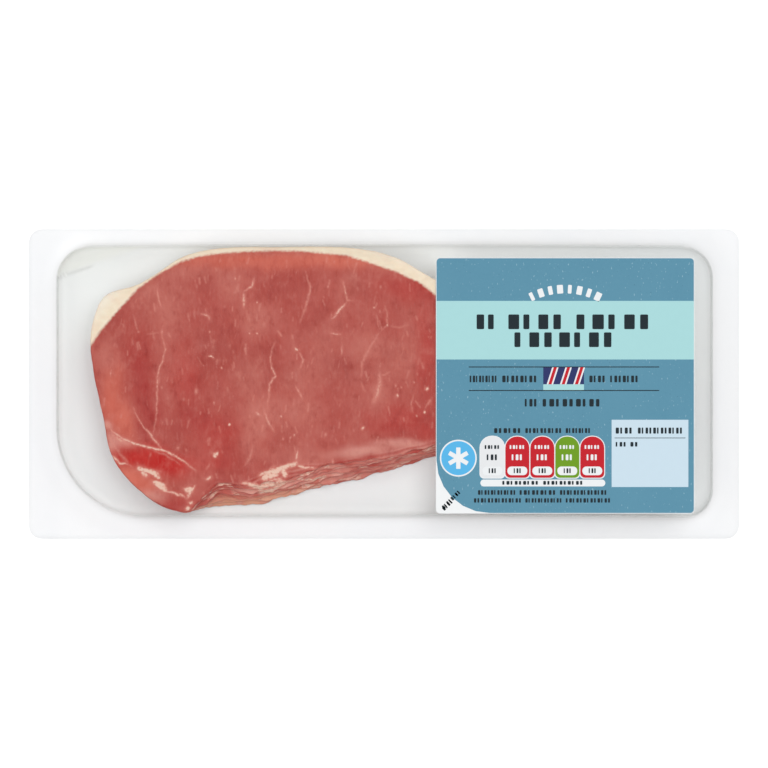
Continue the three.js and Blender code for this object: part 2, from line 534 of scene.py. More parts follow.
def film_material():
    """Clear film: a faint veil, with more grey as painted shade on the walls, the foot, the crease and over
    the box's empty parts, and a gloss that grows at a slant.
    """
    material, tree, surface = new_material("clear_film")
    haze_and_painted_shade = vertex_value(tree, "haze_and_painted_shade")
    warm = vertex_value(tree, "warm")
    mottle = clouds(tree, 22, stretch=(1, 1.6, 1), detail=2)
    clear = blend(tree, mottle, (0.985, 0.99, 0.994, 1), (0.997, 0.997, 0.995, 1))
    clear = blend(tree, haze_and_painted_shade, clear, (0.78, 0.78, 0.77, 1))
    clear = blend(tree, warm, clear, (0.975, 0.972, 0.94, 1))
    ripple = bump(tree, clouds(tree, 7, stretch=(1, 1.4, 1), detail=3), 0.25)
    slant = calc(tree, "POWER", node(tree, "LayerWeight", Normal=ripple).outputs["Facing"], 5.0)
    share = calc(tree, "ADD", calc(tree, "MULTIPLY", slant, 0.6), calc(tree, "MULTIPLY", haze_and_painted_shade, 0.02))
    skin = node(
        tree, "BsdfPrincipled", Base_Color=linear(240, 241, 240), Metallic=0.9, Roughness=0.13,
        Normal=ripple,
    )
    through = node(tree, "BsdfTransparent", Color=clear)
    both = tree.nodes.new("ShaderNodeMixShader")
    plug(tree, both.inputs[0], share)
    plug(tree, both.inputs[1], through.outputs[0])
    plug(tree, both.inputs[2], skin.outputs[0])
    tree.links.new(both.outputs[0], surface)
    return material


def make_film(stack_ring):
    """The flange, foot, wall, shoulder and front as one sheet, thickened inwards."""
    flange_top = BACK_TOP + AIR + FILM
    count = len(box_ring(0, 1.0))
    rings = []
    haze_and_painted_shades = []

    def add_ring(inset, z, haze_and_painted_shade):
        ring = box_ring(inset, 1.0)
        # Every ring has the same number of points, so that quads join them.
        if len(ring) != count:
            closed = np.vstack([ring, ring[:1]])
            at = np.linspace(0, len(ring), count, endpoint=False)
            ring = np.stack([np.interp(at, range(len(ring) + 1), closed[:, k]) for k in (0, 1)], axis=1)
        rings.append((ring, z))
        haze_and_painted_shades.append(haze_and_painted_shade)

    add_ring(-2.5, flange_top, 0.0)
    add_ring(-FOOT - 0.35, flange_top, 0.1)
    for k, haze_and_painted_shade in enumerate(FOOT_HAZE_AND_PAINTED_SHADE):
        angle = k / (len(FOOT_HAZE_AND_PAINTED_SHADE) - 1) * math.pi / 2
        add_ring(-FOOT * (1 - math.sin(angle)), flange_top + FOOT * (1 - math.cos(angle)), haze_and_painted_shade)
    wall_low, wall_high = flange_top + FOOT, FRONT - SHOULDER
    for k in range(1, WALL_RINGS):
        up = k / WALL_RINGS
        add_ring(DRAFT * up, wall_low + (wall_high - wall_low) * up, WALL_HAZE_AND_PAINTED_SHADE)
    for k, haze_and_painted_shade in enumerate(SHOULDER_HAZE_AND_PAINTED_SHADE):
        angle = k / (len(SHOULDER_HAZE_AND_PAINTED_SHADE) - 1) * math.pi / 2
        inset = DRAFT + SHOULDER * (1 - math.cos(angle))
        add_ring(inset, FRONT - SHOULDER * (1 - math.sin(angle)), haze_and_painted_shade)
    for k in (1, 2):
        add_ring(DRAFT + SHOULDER + 1.2 * k, FRONT, 0.05)

    vertices = [(*p, z) for ring, z in rings for p in ring]
    haze_and_painted_shade = np.repeat(haze_and_painted_shades, count).tolist()
    faces = ring_quads(len(rings), count)

    top_ring = rings[-1][0]
    points = grid_points(top_ring, 0.9, [(ALL_X[0], -96, 0.8), (-95.5, ALL_X[1], 1.5)])
    triangles = cap(top_ring, points)
    first = len(vertices)
    where = [(len(rings) - 1) * count + i for i in range(count)]
    where += list(range(first, first + len(points)))
    vertices += [(*p, FRONT) for p in points]
    haze_and_painted_shade += [FRONT_VEIL] * len(points)
    faces += [[where[i] for i in triangle] for triangle in triangles]

    # The flat flange out to the pack's edge.
    edge = pack_ring()
    flange = rings[0][0]
    flange_points = grid_points(edge, 1.2, [(*ALL_X, 2.5)])
    grown = flange + outward(flange) * 1.2
    flange_points = flange_points[~inside(grown, flange_points[:, 0], flange_points[:, 1])]
    flat = [Vector(p) for p in edge] + [Vector(p) for p in flange] + [Vector(p) for p in flange_points]
    made = delaunay_2d_cdt(
        flat, [], [list(range(len(edge))), list(range(len(edge), len(edge) + count))], 1, 1e-6, False
    )
    first = len(vertices)
    where = list(range(first, first + len(edge))) + list(range(count))
    first += len(edge)
    where += list(range(first, first + len(flange_points)))
    vertices += [(*p, flange_top) for p in edge] + [(*p, flange_top) for p in flange_points]
    haze_and_painted_shade += [0.0] * (len(edge) + len(flange_points))
    rim = set(range(len(edge), len(edge) + count))
    for face in made[2]:
        if not all(i in rim for i in face) and max(face) < len(flat):
            faces.append([where[i] for i in face])
    vertices = np.array(vertices)

    xs, ys, zs = vertices.T
    # Over the stack the film rests on meat; elsewhere it hangs a little.
    grown = stack_ring + outward(stack_ring) * 1.5
    over = inside(grown, xs, ys).astype(float)
    share = smooth(flange_top + 6, FRONT, zs)
    vertices[:, 2] -= film_sag(xs, ys, over) * share
    film = mesh_object("film", vertices, faces, film_material())
    past = past_crease(xs, ys)
    # Painted shade: a darker grey line along the crease, and a little more grey over the empty parts of the
    # box.
    crease_painted_shade = np.exp(-(((past - CREASE) / 0.6) ** 2)) * share * smooth(*CREASE_FADE, xs)
    empty = (1 - over) * share
    attribute(film, "haze_and_painted_shade", np.clip(np.array(haze_and_painted_shade) + 0.05 * empty + 0.4 * crease_painted_shade, 0, 1))
    beyond = smooth(0.0, 2.0, CREASE - past) * share
    attribute(film, "warm", 0.45 * beyond)
    thick = film.modifiers.new("thickness", "SOLIDIFY")
    thick.thickness = FILM / METRE
    thick.offset = -1
    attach(film, "root")
    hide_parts("clear_pack")


# ---- the rashers

# The top rasher's outline, fat included, anticlockwise from its pointed end, as (x, y, slip):
# the bottom rasher's outline runs `slip` further towards -Y there. It is the frame's outline.
OUTLINE = [
    (-101.9, 13, 0), (-100.3, 1.2, 0), (-97.4, -11.8, 0.3), (-94.5, -25, 0.8), (-87, -35, 1),
    (-77.5, -42, 1), (-68.4, -44.4, 0.4), (-63.5, -40.5, 3.5), (-57.5, -35, 7.6),
    (-46.5, -35.6, 6.6), (-33, -33.3, 6), (-19, -28.2, 7.6), (-1.4, -25.8, 5.2), (18, -21.2, 4.4),
    (44, -18, 4), (70, -14.4, 3), (88, -10.5, 2.4), (97.5, -3, 1), (96, 6, 2.4), (83, 13.5, 3),
    (58, 20.2, 3), (36, 27.5, 3.4), (18, 36.3, 4), (4.9, 43, 4.5), (-10, 46.4, 4.5),
    (-36, 46.9, 4.4), (-58, 46.3, 4), (-71, 43, 3.4), (-85, 34.8, 2.8), (-96.8, 30.6, 2.4),
    (-100.9, 22.5, 1.4),
]

# Where lean meets the fat rim on the top rasher, from the pointed end along the fat side.
LEAN_EDGE = [
    (-104, 10.5), (-101.6, 13.4), (-98.5, 18), (-94, 23.4), (-88.8, 29.2), (-85.6, 32.8),
    (-82.2, 35.2), (-78.4, 37.9), (-74.2, 40.3), (-70.8, 42.2), (-63.8, 44.3), (-56.9, 45.2),
    (-48.2, 45.8), (-39.5, 46.1), (-29.1, 46), (-22.2, 45.3), (-13.5, 44.6), (-8.3, 43),
    (-1.4, 40.8), (4.5, 38.7), (9, 36.6), (12.5, 35), (18, 30.7), (32, 23.5), (48, 17.5),
    (64, 13), (80, 8.5), (93, 4.5), (104, 3),
]

# Seams and marbling on the top rasher, as (strength, half width, [x, y, x, y, ...]).
SEAMS = [
    (0.72, 0.34, [-96, -14, -94.3, -16.1, -91.2, -18.6, -86.7, -20.6, -81.5, -22, -77, -22.9, -72.8,
        -24.6, -68.7, -27.4, -65.2, -30.2]),
    (0.5, 0.26, [-87, -8, -85.3, -12, -83.2, -15.1, -80.5, -17.9, -79.4, -20, -77, -22.7]),
    (0.52, 0.28, [-76.8, 20, -77.2, 18, -75.8, 12, -76.8, 8.5, -78.6, 2.6, -78.7, -5.7, -79.1, -12.7,
        -80, -17.5]),
    (0.6, 0.34, [-82.5, -15.5, -80.5, -18.2, -77, -22.5]),
    (0.5, 0.8, [-94.5, -17, -91.5, -19.4, -88, -20.6]),
    (0.4, 0.28, [-81.2, -22.7, -76, -24.5, -71.8, -27, -70.4, -28.3]),
    (0.35, 0.5, [-96, -17.2, -93.3, -21.7, -90.2, -25.8, -87, -29.3]),
]
VEINS = [
    (0.5, 0.28, [-78.7, 33.5, -78.2, 29.7, -77.3, 26.2]),
    (0.35, 0.35, [-87, 24, -85.3, 18]),
    (0.3, 0.35, [-82.2, 17.2, -77.7, 18]),
    (0.55, 0.35, [-63.8, 24.3, -60.7, 23.6, -60.3, 22]),
    (0.9, 0.28, [-61, 9.5, -60, 9.7, -59, 9]),
    (0.6, 0.5, [-48.6, 31.7, -48.6, 26.2]),
    (0.65, 0.32, [-48.6, 32, -46, 33.8, -44.7, 37]),
    (0.45, 0.38, [-48, 14.4, -48, 10.2]),
    (0.45, 0.5, [-65, -1, -65, -3.6]),
    (0.35, 0.31, [-67.3, -12, -68.5, -15.4]),
    (0.35, 0.35, [-61.7, -30, -60.3, -27]),
    (0.5, 0.38, [-71.4, -21.7, -71.4, -23]),
    (0.4, 0.35, [-45.6, -21.7, -46.5, -25.8, -48.6, -28.6]),
    (0.45, 0.38, [-27.4, 39.4, -25.5, 33.5, -27, 27, -29.3, 21]),
    (0.55, 0.31, [-14.2, 36, -13.2, 31, -12.8, 29, -10.8, 29]),
    (0.65, 0.42, [-12.8, 28.6, -15.6, 25.5, -18, 22.4]),
    (0.35, 0.31, [-2.8, 24.5, -1.4, 18.6]),
    (0.4, 0.31, [0.3, 27.2, 1, 24, 1, 20.3, -1.4, 18.2]),
    (0.4, 0.42, [-1.4, 18.2, -4.2, 14, -6, 10.6, -7.5, 7.5, -8, 2.3]),
    (0.3, 0.31, [1, 20.3, 5, 19.6, 9, 20.5]),
    (0.6, 0.28, [-18.7, 17.7, -15, 17.2]),
    (0.6, 0.28, [-14.7, 13, -14.6, 10.2]),
    (0.8, 0.31, [-31, 12.7, -29.8, 11.6]),
    (0.5, 0.31, [-29.8, 11.6, -28, 8.5, -29, 5.4]),
    (0.5, 0.31, [-37, 18.6, -35.4, 16.5]),
    (0.55, 0.32, [-37.8, 15, -39.5, 9.2, -38.8, 5.4, -37.6, 2.6, -39.7, 0, -40, -5, -40.6, -8.5]),
    (0.5, 0.35, [-31, -0.5, -28, -5.4]),
    (0.5, 0.8, [-1.7, 4.3, -1.4, 0, -2.6, -4.3, -4.2, -7]),
    (0.4, 0.31, [-1.4, 2.6, 2.4, 4.3]),
    (0.3, 0.31, [-8.3, 1.2, -6.6, -3]),
    (0.5, 0.38, [-41.6, -8.5, -40.6, -12.3, -37.8, -16.8]),
    (0.55, 0.5, [-44.7, -9.5, -42.7, -11]),
    (0.5, 0.31, [-20.3, -16.8, -20.3, -18.6]),
    (0.45, 0.42, [-17.7, -25.8, -18, -28]),
    (0.4, 0.28, [10.4, -3.6, 9.4, -7, 10, -10.2]),
    (0.4, 0.28, [16.3, -5, 14.2, -8.8]),
    (0.7, 0.42, [-29.8, -23, -30.5, -26.5]),
    (0.8, 0.35, [13.9, -23.8, 18, -21.3]),
]
# Small pieces of fat along the lower side of the top rasher, in the same form.
FAT_PATCHES = [
    (1.0, 0.62, [-30.5, -27.2, -34.7, -29.3, -38.8, -30.5, -43, -31.7]),
    (0.75, 0.35, [-31, -27.6, -27.4, -29, -24, -29.5]),
    (0.95, 0.55, [-34.7, -29.3, -34.3, -31.7]),
    (1.0, 0.65, [-36.8, -31.4, -42.3, -32.8]),
    (0.9, 0.5, [-49, -34.2, -43.7, -36, -38.8, -35.2, -34.7, -33.5]),
    (1.0, 0.66, [-85.7, -29.3, -81.2, -30.3, -78.4, -31.4, -77.7, -32.8]),
    (0.9, 0.6, [-84.3, -31, -82.2, -32]),
    (1.0, 0.6, [-79.8, -33.8, -78, -35.2, -75.3, -37]),
    (0.7, 0.28, [-76.6, -36.6, -71.8, -38.3, -69, -39.4]),
    (0.9, 0.9, [-69, -36.6, -66.6, -37]),
    (0.7, 0.5, [-65.2, -35, -67.3, -37.3, -68.3, -39.4]),
    (0.95, 0.5, [-67.6, -41, -67, -41.3]),
    (1.0, 0.5, [-68.7, -43.2, -67.3, -43.4]),
    (0.7, 0.38, [-62, -32.8, -60, -32.3]),
    (0.6, 0.45, [-41, -33.6, -36, -33, -32, -34]),
    (0.9, 0.5, [-44, -37.6, -40, -37.1, -36.5, -36.2]),
    (0.75, 0.45, [-30, -33.8, -24, -33.2, -20, -32.4]),
    (0.8, 0.3, [-93.9, -25.3, -91.6, -27.3, -88.7, -27.9]),
]
# Single flecks, as (x, y, strength, half width).
FLECKS = [
    (-85.3, 18.2, 0.5, 0.45), (-77, 18.2, 0.6, 0.45), (-75.8, 12, 0.6, 0.42), (-56.2, 5.7, 0.7, 0.45),
    (-62.6, 6.2, 0.4, 0.35), (-51.5, 36.6, 0.6, 0.35), (-44, 28.3, 0.8, 0.35), (-46.6, 17.5, 0.9, 0.28),
    (-44, 17.5, 0.7, 0.35), (-60.5, 18, 0.6, 0.38), (-58.8, -6.6, 0.7, 0.45), (-53.6, -14, 0.9, 0.38),
    (-58.7, -24.7, 1.0, 0.8), (-57.9, -24.1, 1.0, 0.6), (-19.4, 33.8, 0.5, 0.38),
    (-3.6, 26.5, 0.7, 0.35), (1, 20.3, 0.7, 0.45),
    (4, -0.5, 0.6, 0.5), (4.7, -4, 0.8, 0.5), (15, -1.6, 0.8, 0.55), (10.4, 0.5, 0.5, 0.38),
    (6, -1.2, 0.5, 0.35), (-35.7, -11.3, 0.6, 0.42), (-31.2, -17.7, 0.7, 0.42), (-32.4, -18.6, 0.6, 0.35),
    (-35, -19, 0.5, 0.42), (-25, -14.7, 0.5, 0.35), (-7.3, -15.3, 0.8, 0.6), (11.4, -11, 0.6, 0.38),
    (14, -9.7, 0.8, 0.5), (1.7, -26.2, 0.6, 0.35), (-94.7, 3.8, 0.6, 0.38), (-61.4, -40, 0.7, 0.45),
]

# The lean's colours, and soft fields of them on the top rasher, as (x, y, x size, y size, name).
LEAN = {
    "even": paint(184, 83, 74),
    "pale": paint(200, 111, 99),
    "margin": paint(218, 112, 92),
    "deep": paint(168, 38, 36),
    "red": paint(187, 66, 59),
    "scarlet": paint(196, 26, 20),
    "fatty": paint(226, 158, 144),
    "mauve": paint(175, 78, 70),
    "layer": paint(214, 114, 102),
    "strand": paint(250, 194, 178),
    # dark serves only as painted shade low on the lower rashers' sides.
    "dark": paint(166, 60, 54),
    "tan": paint(242, 184, 152),
}
# How much of a field's own colour its middle shows, where that is not three quarters.
BOLD = {"scarlet": 0.95, "deep": 0.85, "margin": 0.85}
FIELDS = [
    (-94.5, -3, 3.4, 9, "margin"), (-90.5, -13, 3.4, 7, "margin"), (-96, 9, 3.4, 7, "pale"),
    (-84.2, 4, 4.2, 10, "deep"), (-81.8, -9, 4, 9, "deep"), (-84.6, -36.2, 8.3, 5, "margin"),
    (-74.2, -41, 7, 2.8, "red"),
    (-79.4, 32.4, 10.4, 5, "pale"), (-67.3, 40, 14, 3.5, "pale"), (-50, 43.5, 20.8, 2.6, "margin"),
    (-15.3, 43, 17.3, 2.8, "margin"), (9, 34.2, 9, 5, "red"), (-11.8, 34.2, 3.5, 5.5, "pale"),
    (-20.5, 13.4, 5, 9, "pale"), (-76, 24, 6, 7, "pale"), (3.8, 8.2, 9.7, 7.6, "pale"),
    (-6.6, 13.4, 6.2, 5, "pale"),
    (-15.3, 5, 8, 4.4, "mauve"), (15.2, 11.6, 3, 15, "red"), (-69, 3, 5, 8, "red"),
    (-60.3, 13.4, 5, 5.5, "mauve"), (-63.8, -12.7, 6.2, 5, "deep"), (-55.1, -18.5, 10, 6, "red"),
    (-46, -18, 4.4, 7, "pale"), (-43, -10, 4.6, 6, "pale"), (-32.6, -11, 10.4, 7, "pale"),
    (5.5, -12.4, 10, 4.6, "red"), (15.5, -16, 4, 3, "red"), (-8, -23.6, 10, 1.6, "fatty"),
    (9, -21, 10, 1.6, "fatty"),
    (-29, -24.8, 10.4, 4.2, "pale"), (-58.6, -27.5, 7, 3.4, "red"), (-53.4, 34, 5, 5, "pale"),
    (-44.7, 22, 5, 6, "pale"), (-29, 3, 6.2, 5, "pale"), (-46.5, 3, 5.5, 6.2, "pale"),
    (-2.2, -4.2, 4, 5, "pale"), (-91.6, -20.6, 3, 1.7, "fatty"), (-95.7, -14, 2, 1.4, "fatty"),
    (-94.3, -19.6, 1.7, 3.5, "fatty"), (-85, -24.9, 8, 3.8, "scarlet"), (-75.4, -28.2, 8, 3.8, "scarlet"),
    (-88.5, -32, 4, 3, "margin"), (-80, -39, 5, 2, "fatty"),
]

# Below this line the top rasher's torn edge shows as thin layers.
LAYER_LINE = [
    (-77, -49), (-65, -38), (-58, -33.4), (-50, -33.8), (-43, -31.2), (-37, -28.8), (-28, -27.2),
    (-18, -26.8), (0, -23.2), (22, -18),
]
LAYER_PITCH = 1.7
# A rasher's edge: its points' spacing and its rounding; and the grid steps on the faces.
RASHER_RING_STEP = 0.6
RASHER_ROUNDING = 0.6
SEEN_STEP, UNSEEN_STEP, LOWER_STEP = 0.42, 2.0, 4.0
FLECK_SEED, FLECK_COUNT = 4, 420
# How far the lower rashers' fat rim has slipped along at the bottom of the stack, by X.
RIM_SLIP_X = [-102, -60, -30, 20, 100]
RIM_SLIP = [0.5, 3.8, 4.4, 4.0, 2.0]
# What lean is mixed with where it is pale, and multiplied by where it is dark.
PALE_MUSCLE = paint(230, 156, 140)
DARK_MUSCLE = (0.74, 0.5, 0.5, 1)


def rasher_ring(index, spacing):
    """The outline of a rasher, counted from the top one, with a knife's small unevenness."""
    depth = index / (len(RASHERS) - 1)
    points = []
    for i, (x, y, slip) in enumerate(OUTLINE):
        uneven = 0.35 * math.sin(2.4 * index + 1.7 * i) if index and slip else 0.0
        points.append((x, y - slip * depth + uneven))
    ring = closed_curve(points, spacing)
    xs, ys = ring.T
    torn = smooth(-72, -62, xs) * smooth(24, 8, xs) * (ys < 0)
    ragged = (0.14 + 1.1 * torn) * relief(xs, ys, 5.5, index * 7.3)
    ragged += (0.08 + 0.3 * torn) * relief(xs, ys, 1.5, index * 3.1)
    pressed = 0.75 * smooth(-78, -68, xs) * smooth(14, 0, xs) * (ys > 0)
    return ring + outward(ring) * (ragged + pressed - 0.1)[:, None]


def marbling(xs, ys):
    """How much fat shows at each point of the top rasher, from 0 to 1, before its fine grain."""
    wobble_x = xs + 0.3 * relief(xs, ys, 2.2, 1.0) + 0.16 * relief(xs, ys, 0.8, 2.0)
    wobble_y = ys + 0.3 * relief(xs, ys, 2.2, 3.0) + 0.16 * relief(xs, ys, 0.8, 4.0)
    fat = np.zeros(len(xs))
    rough_x = wobble_x + 0.75 * relief(xs, ys, 3.0, 41.0)
    rough_y = wobble_y + 0.75 * relief(xs, ys, 3.0, 42.0)
    for group, tips, broad, x_there, y_there in (
        (SEAMS, 0.5, 1.15, wobble_x, wobble_y),
        (VEINS, 0.35, 1.2, wobble_x, wobble_y),
        (FAT_PATCHES, 0.6, 1.5, rough_x, rough_y),
    ):
        for strength, width, places in group:
            path = np.reshape(places, (-1, 2))
            away, _, taper = path_distance(path, x_there, y_there, tips)
            core = strength * np.exp(-((away / (broad * width * taper)) ** 2))
            halo = 0.26 * strength * np.exp(-((away / (3.4 * width)) ** 2))
            fat = np.maximum(fat, core * taper + halo * (1 - core))
    for x, y, strength, width in FLECKS:
        away = np.hypot(wobble_x - x, (wobble_y - y) / 1.3)
        fat = np.maximum(fat, min(1.1 * strength, 1.0) * np.exp(-((away / width) ** 2)))
    return fat


def stray_flecks(xs, ys, seed, count):
    """Short faint strokes, mostly along Y, at seeded places over the whole rasher."""
    draw = random.Random(seed)
    fat = np.zeros(len(xs))
    for _ in range(count):
        x, y = draw.uniform(-98, 20), draw.uniform(-40, 44)
        length = draw.uniform(0.3, 2.6)
        lean = draw.gauss(0, 0.25)
        strength, width = draw.uniform(0.15, 0.42), draw.uniform(0.22, 0.5)
        near = (np.abs(xs - x) < 3) & (np.abs(ys - y) < 4)
        if near.any():
            path = [(x, y), (x + lean * length, y + length)]
            away, _, _ = path_distance(path, xs[near], ys[near])
            fat[near] = np.maximum(fat[near], strength * np.exp(-((away / width) ** 2)))
    return fat


def towards(colours, name, share):
    """The colours moved by a share, at each point, towards one of the lean's."""
    return colours + share[:, None] * (np.array(LEAN[name][:3]) - colours)


def lean_colour(xs, ys, fields):
    """The lean's colour at each point, from its soft fields."""
    colour = np.tile(np.array(LEAN["even"][:3]), (len(xs), 1))
    warp_x = xs + 2.2 * relief(xs, ys, 9, 11.0)
    warp_y = ys + 2.2 * relief(xs, ys, 9, 12.0)
    for x, y, wide, high, name in fields:
        reach = ((warp_x - x) / wide) ** 2 + ((warp_y - y) / high) ** 2
        colour = towards(colour, name, BOLD.get(name, 0.75) * np.exp(-0.7 * reach**1.3))
    return colour


def torn_layers(xs, ys, colours):
    """The colours with thin paler strips, and darker strips of painted shade between them, along the top
    rasher's torn lower edge.
    """
    away, side, _ = path_distance(LAYER_LINE, xs, ys)
    below = np.where(side < 0, away, 0.0)
    wave = np.sin(2 * math.pi * (below + 0.7 * relief(xs * 0.4, ys, 2.6, 31.0)) / LAYER_PITCH)
    there = smooth(0.1, 0.9, below) * smooth(-68, -50, xs)
    there *= 0.55 + 0.45 * relief(xs, ys, 6.0, 33.0)
    # The fatty strips are the layers' edges; the deep ones are painted shade in the gaps.
    for name, share in (("fatty", smooth(0.1, 0.9, wave)), ("deep", smooth(0.1, 0.9, -wave))):
        colours = towards(colours, name, 0.75 * share * there)
    return colours


def pork_material():
    """Lean and fat by the vertex fields, with muscle grain, fine marbling, painted shade on the rasher's
    side and a wet gloss.
    """
    material, tree, surface = new_material("pork")
    lean = vertex_value(tree, "lean", "Color")
    pale = blend(tree, 0.3, lean, PALE_MUSCLE)
    dark = blend(tree, 1.0, lean, DARK_MUSCLE, "MULTIPLY")
    broad = clouds(tree, 14, stretch=(1, 1.3, 1), detail=3)
    mottle = clouds(tree, 3.2, stretch=(1, 1.5, 1), detail=5, roughness=0.66)
    grain = clouds(tree, 0.6, stretch=(1, 5, 1), detail=3)
    tone = lean
    for pattern, low, high, share, other in (
        (broad, 0.42, 0.66, 0.34, pale), (broad, 0.5, 0.34, 0.3, dark),
        (mottle, 0.5, 0.72, 0.5, pale), (mottle, 0.5, 0.28, 0.55, dark),
        (grain, 0.5, 0.75, 0.2, pale), (grain, 0.45, 0.25, 0.2, dark),
    ):
        tone = tinge(tree, tone, pattern, low, high, share, other)

    to_lean = vertex_value(tree, "to_lean")
    fat_grain = clouds(tree, 1.6, stretch=(1.8, 1, 1), detail=3)
    fat = blend(tree, fat_grain, paint(242, 218, 190), paint(254, 242, 218))
    rosy = clouds(tree, 7, detail=2)
    fat = tinge(tree, fat, rosy, 0.45, 0.75, 0.3, paint(236, 198, 178))
    fat = tinge(tree, fat, to_lean, -2.0, -6.5, 0.5, paint(252, 245, 232))

    fray = calc(tree, "MULTIPLY_ADD", clouds(tree, 1.1, detail=3), 1.1, -0.55)
    edge = calc(tree, "ADD", to_lean, fray)
    rim = step_between(tree, edge, 0.5, -0.7)
    vein = vertex_value(tree, "marbling")
    patchy = step_between(tree, clouds(tree, 0.9, detail=3), 0.25, 0.6, 0.7, 1.15)
    vein = calc(tree, "MULTIPLY", vein, patchy)
    vein_tone = tinge(tree, paint(220, 138, 124), vein, 0.4, 0.95, 1.0, paint(240, 200, 180))
    tone = tinge(tree, tone, vein, 0.0, 0.8, 1.0, vein_tone)
    tone = blend(tree, rim, tone, fat)
    # Painted shade on the rasher's rounded side: lean a little darker, fat a darker cream.
    lean_with_side_shade = blend(tree, 1.0, tone, (0.95, 0.9, 0.88, 1), "MULTIPLY")
    side_with_painted_shade = blend(tree, rim, lean_with_side_shade, paint(236, 208, 186))
    tone = blend(tree, vertex_value(tree, "side_painted_shade"), tone, side_with_painted_shade)

    wet = step_between(tree, clouds(tree, 5, detail=3), 0.35, 0.7, 0.34, 0.5)
    height = calc(tree, "ADD", calc(tree, "MULTIPLY", mottle, 0.6), calc(tree, "MULTIPLY", grain, 0.4))
    finish_surface(
        tree, surface, Base_Color=tone, Roughness=wet, Subsurface_Weight=0.12,
        Subsurface_Radius=(1.0, 0.35, 0.25), Subsurface_Scale=0.0015, Specular_IOR_Level=0.05,
        Normal=bump(tree, height, 0.18, 0.7),
    )
    return material


def layer_colours(index, xs, ys, height):
    """A lower rasher's colour: its strip of the stack's edge is paler or darker from place to place, with
    painted shade low on its side.
    """
    colours = lean_colour(xs, ys, [])

    def tint(name, share):
        nonlocal colours
        colours = towards(colours, name, share)

    along = relief(xs, ys * 0.3, 9.0, index * 5.7)
    fine = relief(xs, ys * 0.5, 2.6, index * 9.1)
    # Share of paler strands by rasher; the second rasher's low share makes its strip darker, painted shadow
    # under the top rasher's edge.
    paler = (0.85, 0.25, 0.6, 0.95, 0.4)[index % 5]
    tint("layer", np.full(len(xs), 0.75))
    # Near the point the upper layers are all lean.
    meaty = smooth(-46, -56, xs) * (ys < 0)
    strand = 0.8 * paler * smooth(-0.45, 0.25, along + 0.6 * fine) * smooth(0.75, 0.95, height)
    tint("strand", strand * (1 - 0.75 * meaty))
    tint("red", 0.45 * meaty)
    tint("deep", (1 - paler) * 0.7 * smooth(-0.1, 0.5, -along + 0.5 * fine))
    under = smooth(4.5, 8.5, np.full(len(xs), float(index)))
    tint("tan", 0.75 * under * smooth(-72, -62, xs) * smooth(-18, -34, xs) * (ys < 0))
    # Painted shade: darker towards the foot of the side, where the rasher meets the one below.
    tint("dark", 0.3 * smooth(0.95, 0.6, height))
    return colours


def make_rasher(index, material):
    """One rasher: the top one in full detail, the others coarser."""
    low, high = box_mm(RASHERS[index])
    top = index == 0
    ring = rasher_ring(index, RASHER_RING_STEP)
    # The label covers the top rasher past about X = 19.
    bands = [(-110, 19, SEEN_STEP), (19.4, 110, UNSEEN_STEP)] if top else [(-110, 110, LOWER_STEP)]
    vertices, faces = rounded_slab(ring, low[2], high[2], RASHER_ROUNDING, bands)
    xs, ys = vertices[:, 0], vertices[:, 1]
    height = (vertices[:, 2] - low[2]) / (high[2] - low[2])

    depth = index / (len(RASHERS) - 1)
    slip = np.interp(xs, RIM_SLIP_X, RIM_SLIP) * depth
    stagger = 0.0 if top else 3.2 * math.sin(1.7 * index)
    away, side, _ = path_distance(LEAN_EDGE, xs + stagger, ys + slip)
    to_lean = np.where(side > 0, -away, away)
    if not top:
        to_lean += 1.3 * relief(xs, ys, 6.0, index * 3.3) + 0.9 * math.sin(2.1 * index)
        to_lean -= 1.4 * smooth(-93, -84, xs)
    if top:
        fat = np.maximum(marbling(xs, ys), stray_flecks(xs, ys, FLECK_SEED, FLECK_COUNT))
        colours = torn_layers(xs, ys, lean_colour(xs, ys, FIELDS))
    else:
        strands = smooth(0.0, 0.35, relief(xs, ys * 0.4, 5, index * 5.7 + 1.0))
        fat = np.maximum(marbling(xs, ys), 0.7 * strands * (height > 0.9))
        colours = layer_colours(index, xs, ys, height)
    rim_noise = relief(xs, ys, 5, 20.0 + index)
    # Where the side's painted shade falls: half way up the rounded edge, unevenly.
    side_painted_shade = np.exp(-(((height - 0.5) / 0.42) ** 4)) * (0.45 + 0.35 * rim_noise)
    on_rim = np.zeros(len(xs))
    on_rim[: len(ring) * 2 * (SLAB_STEPS + 1)] = 1
    if top:
        vertices[:, 2] += 0.1 * relief(xs, ys, 11, 8.0) * smooth(0.5, 1, height)
        vertices[:, 2] -= 0.07 * np.clip(fat, 0, 1) * (height > 0.9)
    name = "slice_top" if top else f"slice_{index + 1:02d}"
    piece = mesh_object(name, vertices, faces, material)
    attribute(piece, "to_lean", to_lean)
    attribute(piece, "marbling", np.clip(fat, 0, 1))
    attribute(piece, "side_painted_shade", np.clip(side_painted_shade * on_rim, 0, 1))
    colour_attribute(piece, "lean", colours)
    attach(piece, "root")
    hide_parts(RASHERS[index])


# ---- the label

LABEL_WIDE = LABEL_HIGH[0] - LABEL_LOW[0]
LABEL_TALL = LABEL_HIGH[1] - LABEL_LOW[1]
# Thicknesses of the paper and of one layer of print, and what parts prints that would coincide.
PAPER = 0.1
INK = 0.04
OVERLAP_LIFT = 0.004
INK_DARK = paint(14, 34, 42)


def on_label(across, down):
    """A point on the label, from its left edge and its top edge."""
    return LABEL_LOW[0] + across, LABEL_HIGH[1] - down


def label_rect(left, top, right, bottom, radii):
    """A round-cornered rectangle on the label; radii is one number, or four from the bottom left."""
    radii = [max(r, 0.01) for r in (radii if isinstance(radii, list) else [radii] * 4)]
    x0, y1 = on_label(left, top)
    x1, y0 = on_label(right, bottom)
    return rounded_ring(x0, y0, x1, y1, radii, steps=6)


